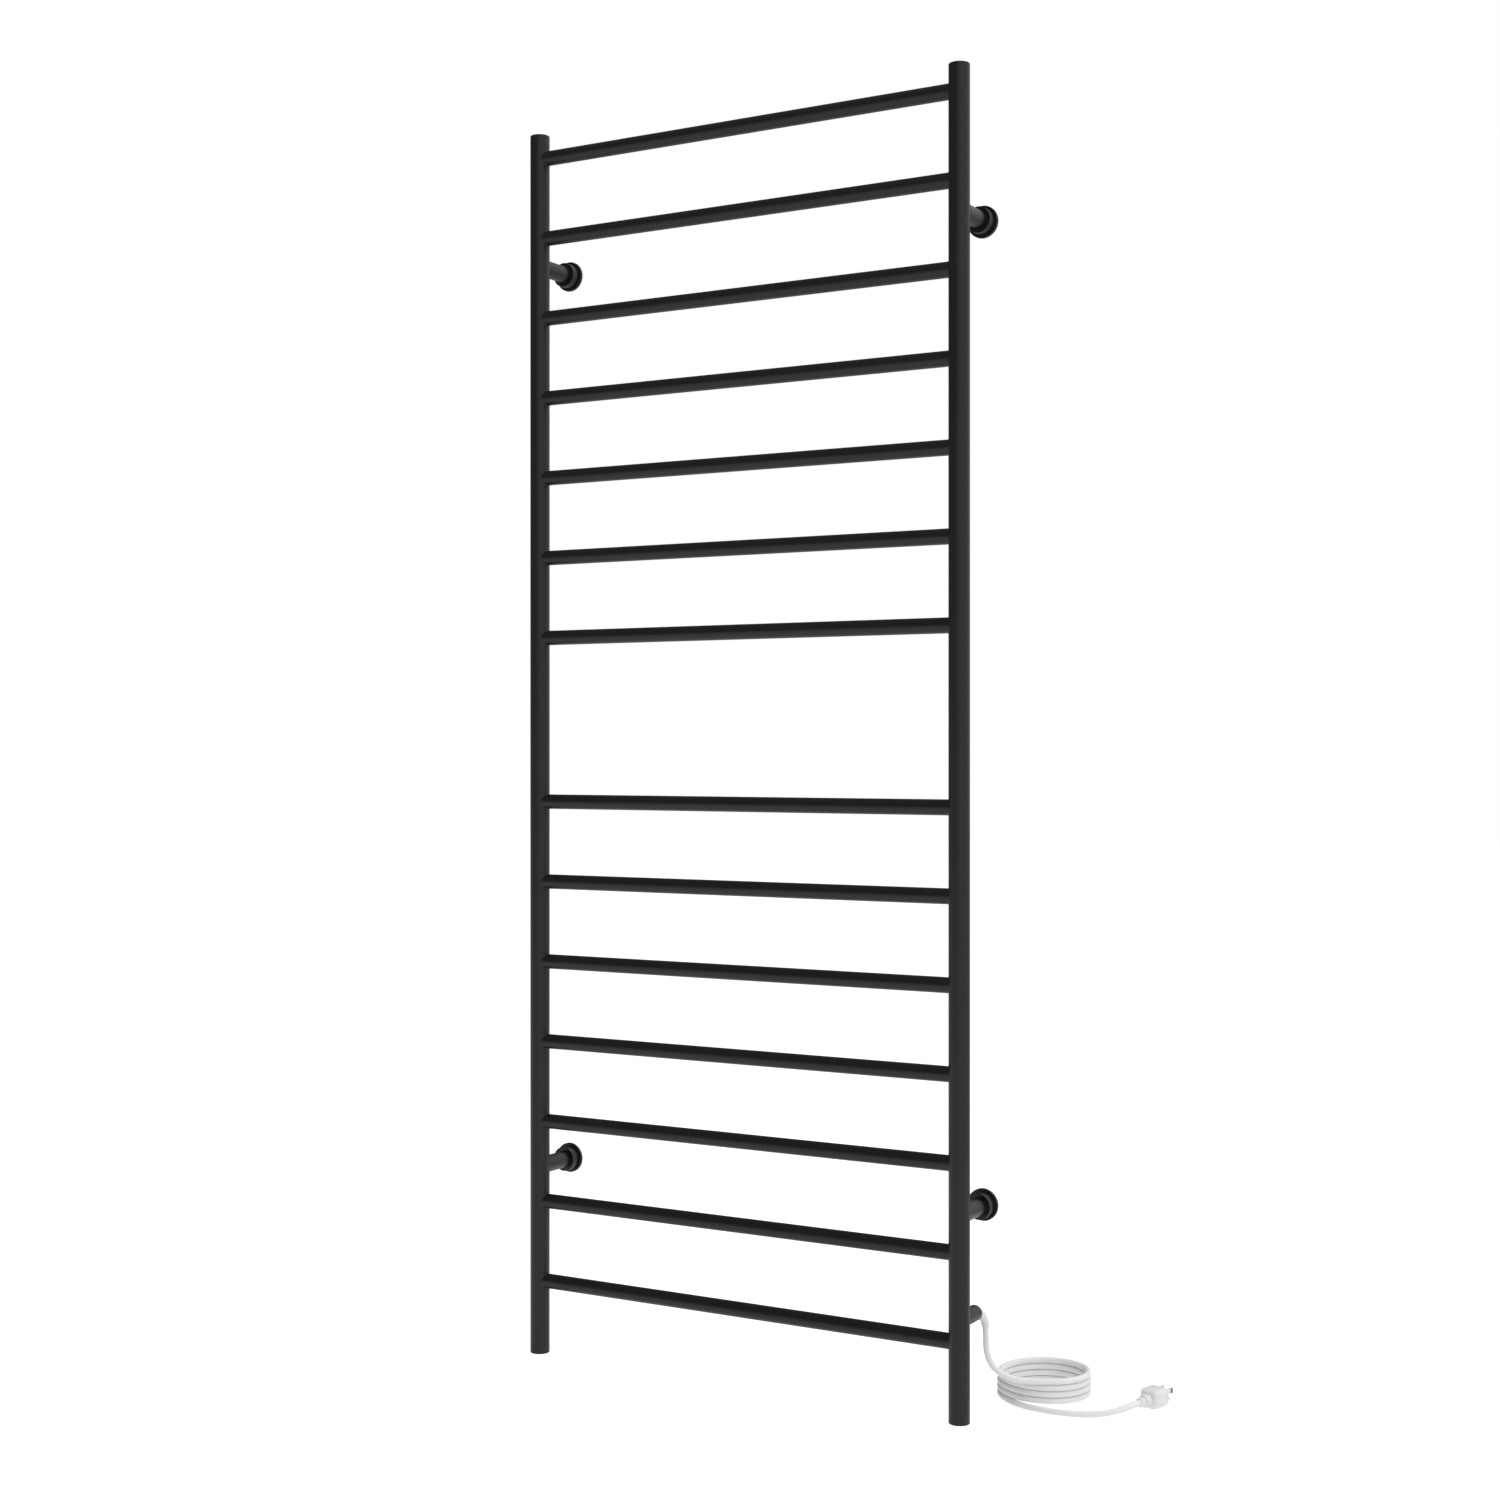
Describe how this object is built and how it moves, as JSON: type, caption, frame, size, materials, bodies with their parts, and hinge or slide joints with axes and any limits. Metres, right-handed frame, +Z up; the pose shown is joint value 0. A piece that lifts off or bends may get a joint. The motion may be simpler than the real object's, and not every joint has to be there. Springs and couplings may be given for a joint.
{
  "type": "towel warmer rack",
  "caption": "Wall-hung electric towel warmer with round posts and two groups of round rungs, sliding bracket covers and a coiled mains cord with its plug.",
  "frame": {"origin": "centre of the four wall screws, on the surface of the wall", "axes": "+X along the rungs to the right post with the cord, +Y into the wall, +Z up along the posts"},
  "size_m": [0.8176, 0.219, 1.6011],
  "materials": {
    "post_paint": "satin black powder coat",
    "rung_paint": "satin black powder coat",
    "bracket_paint": "satin black powder coat",
    "zinc_steel": "zinc plated",
    "black_rubber": "matte",
    "black_plastic": "matte",
    "cord_sheath": "satin PVC",
    "relief_plastic": "satin PVC",
    "plug_plastic": "smooth moulded PVC",
    "plug_metal": "nickel plated",
    "wire_sleeve": "satin",
    "cutout_ceramic": "matte glazed",
    "splice_sleeve": "satin heat-shrink",
    "cable_silicone": "matte silicone"
  },
  "bodies": {
    "rack": {"left_post": "post_paint", "right_post": "post_paint", "rung_01": "rung_paint", "rung_02": "rung_paint", "rung_03": "rung_paint", "rung_04": "rung_paint", "rung_05": "rung_paint", "rung_06": "rung_paint", "rung_07": "rung_paint", "rung_08": "rung_paint", "rung_09": "rung_paint", "rung_10": "rung_paint", "rung_11": "rung_paint", "rung_12": "rung_paint", "rung_13": "rung_paint", "rung_14": "rung_paint", "end_cap_top_left": "post_paint", "end_cap_top_right": "post_paint", "end_cap_bottom_left": "post_paint", "end_cap_bottom_right": "post_paint", "standoff_top_left": "bracket_paint", "standoff_top_right": "bracket_paint", "standoff_bottom_left": "bracket_paint", "standoff_bottom_right": "bracket_paint", "cable_outlet": "bracket_paint", "wall_spigot_top_left": "zinc_steel", "wall_spigot_top_right": "zinc_steel", "wall_spigot_bottom_left": "zinc_steel", "wall_spigot_bottom_right": "zinc_steel", "grub_screws": "zinc_steel", "earth_tag": "zinc_steel", "earth_screw": "zinc_steel", "cord_clamp": "zinc_steel", "outlet_bush": "black_plastic", "inner_cord": "cord_sheath", "cord_drop": "cord_sheath", "cord_coil": "cord_sheath", "cord_tail": "cord_sheath", "strain_relief": "relief_plastic", "plug_relief": "relief_plastic", "lead_wires": "wire_sleeve", "thermal_cutout": "cutout_ceramic", "splice_sleeves": "splice_sleeve", "heating_cable": "cable_silicone", "plug_body": "plug_plastic", "plug_blades": "plug_metal", "plug_pin": "plug_metal"},
    "cover_top_left_body": {"cover_top_left": "bracket_paint", "cover_ring_top_left": "black_rubber"},
    "cover_top_right_body": {"cover_top_right": "bracket_paint", "cover_ring_top_right": "black_rubber"},
    "cover_bottom_left_body": {"cover_bottom_left": "bracket_paint", "cover_ring_bottom_left": "black_rubber"},
    "cover_bottom_right_body": {"cover_bottom_right": "bracket_paint", "cover_ring_bottom_right": "black_rubber"}
  },
  "joints": [
    {"name": "cover_top_left_slide", "type": "slide", "parent": "rack", "child": "cover_top_left_body", "axis": [0, -1, 0], "range_m": [0, 0.035]},
    {"name": "cover_top_right_slide", "type": "slide", "parent": "rack", "child": "cover_top_right_body", "axis": [0, -1, 0], "range_m": [0, 0.035]},
    {"name": "cover_bottom_left_slide", "type": "slide", "parent": "rack", "child": "cover_bottom_left_body", "axis": [0, -1, 0], "range_m": [0, 0.035]},
    {"name": "cover_bottom_right_slide", "type": "slide", "parent": "rack", "child": "cover_bottom_right_body", "axis": [0, -1, 0], "range_m": [0, 0.035]}
  ]
}
